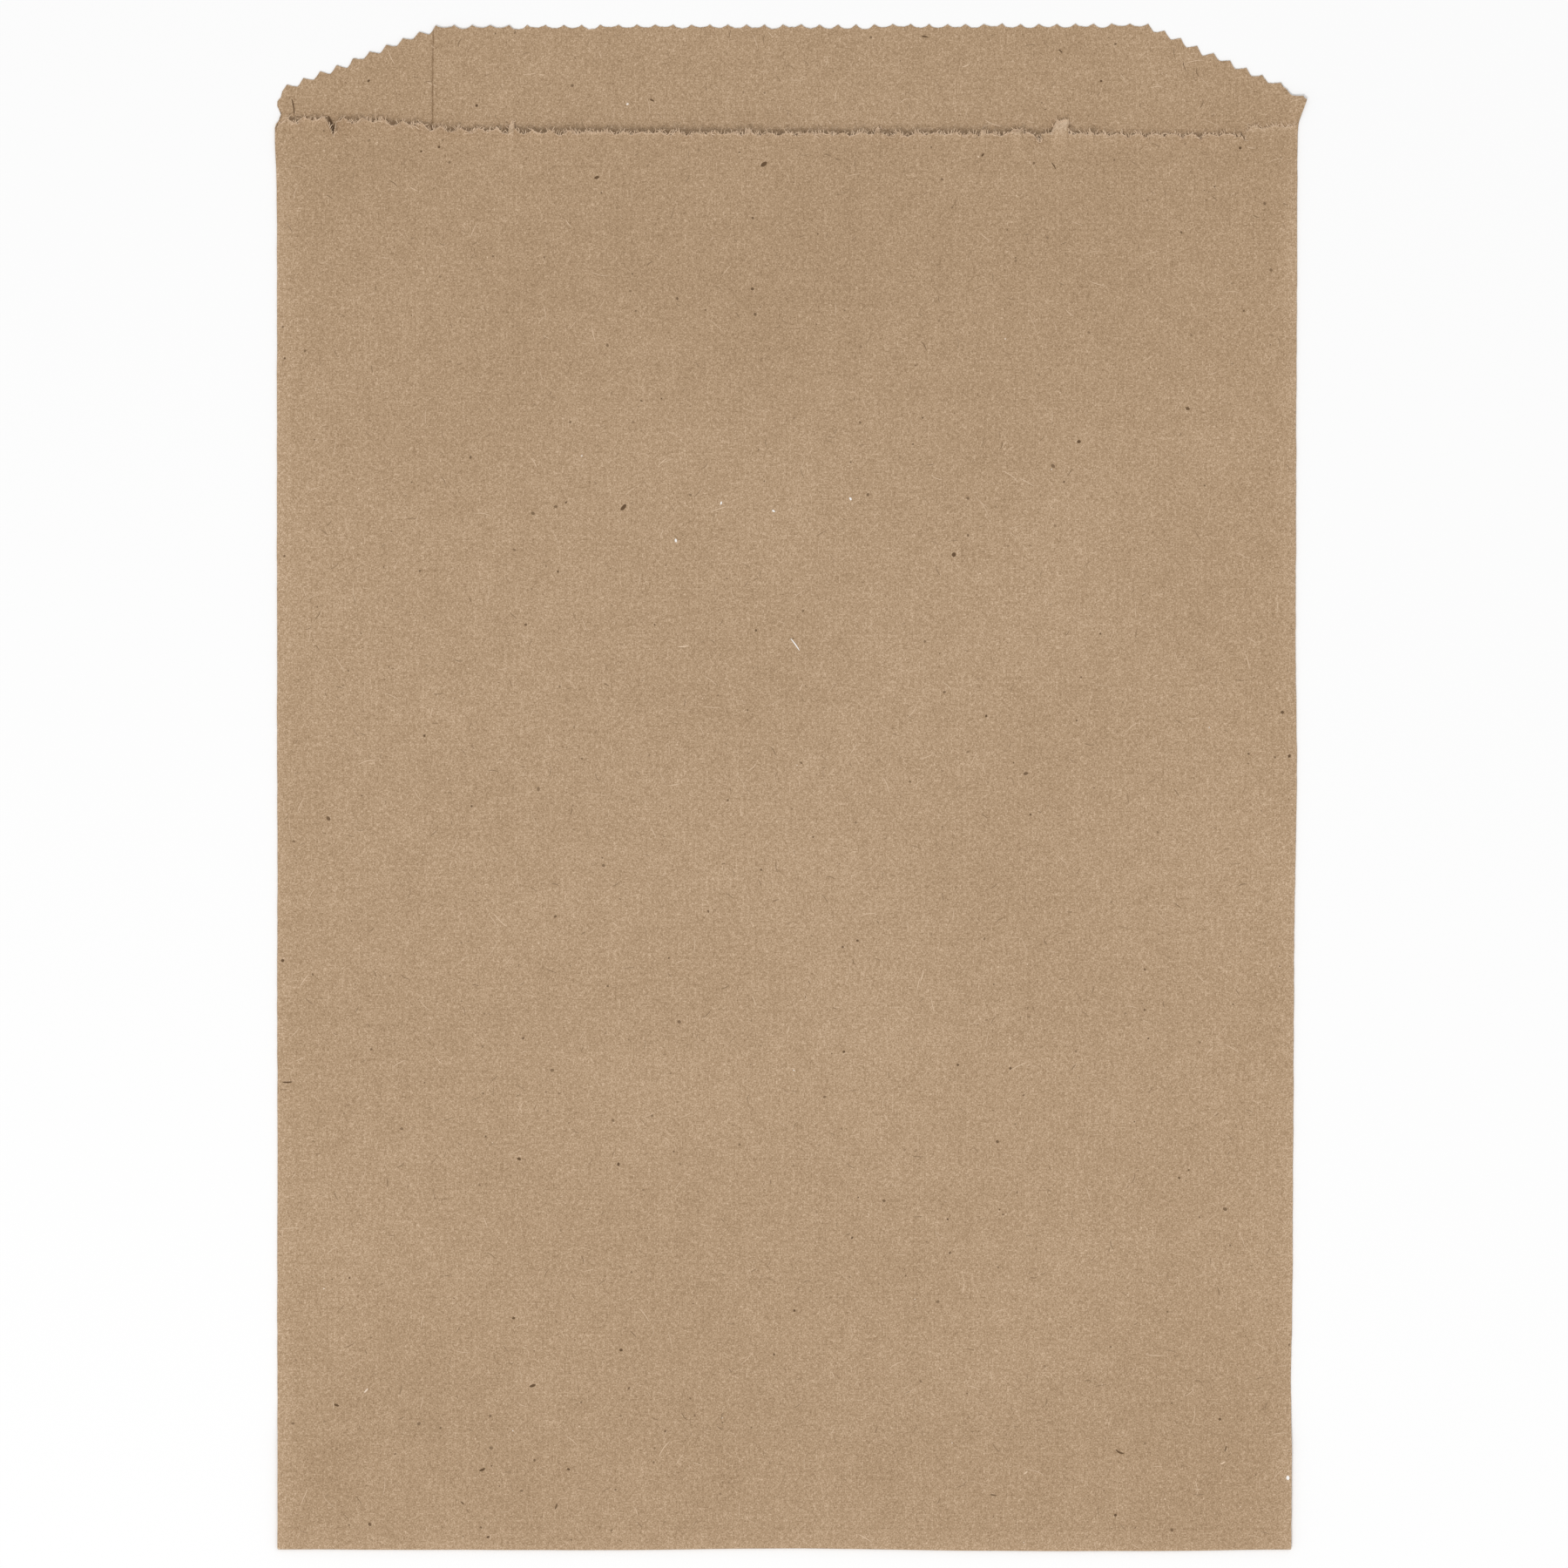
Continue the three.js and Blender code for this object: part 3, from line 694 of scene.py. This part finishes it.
def makeFibresAndShade():
    surface = BVHTree.FromObject(bag, bpy.context.evaluated_depsgraph_get())
    pick = random.Random(fibres["seed"])
    strips = []

    # Drops a stroke onto the front from above, or onto the back from below
    def lay(places, width, tone, isFront, maySag=False):
        way, points = (1 if isFront else -1), []
        for place in places:
            start = toFrame(Vector((*place, 50 * way)))
            hit = surface.ray_cast(start, Vector((0, 0, -way)))[0]
            if hit is None or (points and not maySag and abs(hit.z - points[-1].z) > fibres["mostSag"] * mm):
                return
            points.append(hit + Vector((0, 0, way * fibres["height"] * mm)))
        if not isFront:
            points.reverse()
        strips.append((points, width, tone))

    def somewhere():
        return pick.uniform(-78.5, 78.5), pick.uniform(0.4, 235.5)

    for front, back, length, width, bend, tone in fibres["scattered"]:
        for n in range(front + back):
            places = strokePoints(*somewhere(), pick.uniform(*length), pick.uniform(0, 360),
                                  pick.uniform(-bend, bend), fibres["cells"] + 1)
            lay(places, pick.uniform(*width), pick.uniform(*tone), n < front)
    for front, back, radius, tone in fibres["specks"]:
        for n in range(front + back):
            size = 2 * pick.uniform(*radius)
            places = strokePoints(*somewhere(), size * pick.uniform(0.9, 1.6), pick.uniform(0, 360), 0.4, 5)
            lay(places, size, pick.uniform(*tone), n < front)
    for x, y, length, width, degrees, bend, tone in fibres["placed"]:
        places = strokePoints(x, y, length, degrees, bend, 9)
        lay(places, width, tone, True, True)

    # The fuzz starts just inside the mouth's edge and stands out over it
    count, length, width, height, tone = fibres["fuzz"]
    middleU = foldX + stripEdgeX + math.pi * step + foldX
    for n in range(count):
        root = fold(middleU + pick.uniform(-foldX, foldX), ("mouth", 0.97))
        places = strokePoints(root.x, root.y, pick.uniform(*length), 90 + pick.gauss(0, 48),
                              pick.uniform(-1.2, 1.2), 5)
        rise = pick.uniform(0.1, 1) * height
        base = root.z + sheet["thickness"] / 2 + sheet["layerGap"]
        shift = root.xy - places[0]
        points = [toFrame(Vector((*(place + shift), base + rise * i / 4))) for i, place in enumerate(places)]
        strips.append((points, pick.uniform(*width), pick.uniform(*tone)))

    # The operators are quickest on small meshes, so the strips are made in lots
    mesh = bpy.data.meshes.new("kraft_fibres_and_shade")
    whole = bmesh.new()
    for first in range(0, len(strips), fibres["lot"]):
        lot = bmesh.new()
        lot.verts.layers.float.new("tone")
        for points, width, tone in strips[first:first + fibres["lot"]]:
            layStrip(lot, points, width, tone)
        lot.to_mesh(mesh)
        lot.free()
        whole.from_mesh(mesh)
    whole.to_mesh(mesh)
    whole.free()
    piece = bpy.data.objects.new("kraft_fibres_and_shade", mesh)
    bpy.context.collection.objects.link(piece)
    return piece


def fibreAndShadeFinish():
    fibre = Finish("kraft_fibre")
    tone = fibre.node("ShaderNodeAttribute", {"attribute_name": "tone"}, out=2)
    colour = kraftColour(fibre, 0.5 + tone, kraft["speck"], kraft["fleck"])
    fibre.feed(fibre.shader.inputs["Base Color"], colour)
    fibre.feed(fibre.shader.inputs["Roughness"], kraft["fibreRoughness"])
    fibre.feed(fibre.shader.inputs["Specular IOR Level"], kraft["specular"])
    return fibre.material


loose = makeFibresAndShade()
loose.data.materials.append(fibreAndShadeFinish())
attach(loose, "root")
print("fibres laid:", len(loose.data.polygons), "faces")


# The photograph looks straight down on the front panel, from a little towards the mouth
view = {
    "distance": 1.0, "tilt": math.radians(1.9), "roll": math.radians(0.115),
    "frameWidth": 0.2432, "aim": (-0.00116, 0.00083),
}


def placeCamera():
    data = bpy.data.cameras.new("camera")
    camera = bpy.data.objects.new("camera", data)
    bpy.context.collection.objects.link(camera)
    turn = Matrix.Rotation(-view["tilt"], 4, "X") @ Matrix.Rotation(view["roll"], 4, "Z")
    aim = Vector((*view["aim"], 0))
    camera.matrix_world = Matrix.Translation(aim) @ turn @ Matrix.Translation((0, 0, view["distance"]))
    data.lens = data.sensor_width * view["distance"] / view["frameWidth"]
    data.clip_start = 0.01
    bpy.context.scene.camera = camera


# Lamps are given as the share of a plain level that each adds where the bag lies
light = {
    "world": 0.60,
    "lamps": [
        ("key", (-0.8, -1.7, 2.6), 1.1, 0.30),
        ("fill", (1.2, 1.0, 2.6), 1.6, 0.10),
    ],
}


def placeLamps():
    world = bpy.data.worlds.new("studio")
    world.use_nodes = True
    world.node_tree.nodes["Background"].inputs["Strength"].default_value = light["world"]
    world.node_tree.nodes["Background"].inputs["Color"].default_value = (1, 1, 1, 1)
    bpy.context.scene.world = world
    for name, place, size, share in light["lamps"]:
        away = Vector(place)
        data = bpy.data.lights.new(name, "AREA")
        data.shape, data.size = "DISK", size
        data.energy = share * math.pi ** 2 * away.length ** 3 / away.z
        lamp = bpy.data.objects.new(name, data)
        lamp.matrix_world = Matrix.Translation(away) @ away.to_track_quat("Z", "Y").to_matrix().to_4x4()
        bpy.context.collection.objects.link(lamp)


# A wide white sheet just under the bag
ground = {"halfSize": 3, "drop": 0.00005, "white": 0.998}


def placeFloor():
    bm = bmesh.new()
    bmesh.ops.create_grid(bm, x_segments=1, y_segments=1, size=ground["halfSize"])
    bmesh.ops.translate(bm, verts=bm.verts, vec=(0, 0, -ground["drop"]))
    mesh = bpy.data.meshes.new("floor")
    bm.to_mesh(mesh)
    bm.free()
    floor = bpy.data.objects.new("floor", mesh)
    bpy.context.collection.objects.link(floor)
    paint = Finish("floor_white")
    paint.feed(paint.shader.inputs["Base Color"], (*[ground["white"]] * 3, 1))
    paint.feed(paint.shader.inputs["Roughness"], 1.0)
    paint.feed(paint.shader.inputs["Specular IOR Level"], 0.0)
    mesh.materials.append(paint.material)


placeCamera()
placeLamps()
placeFloor()
bpy.context.scene.view_settings.view_transform = "Standard"
print("camera, lamps and floor placed")
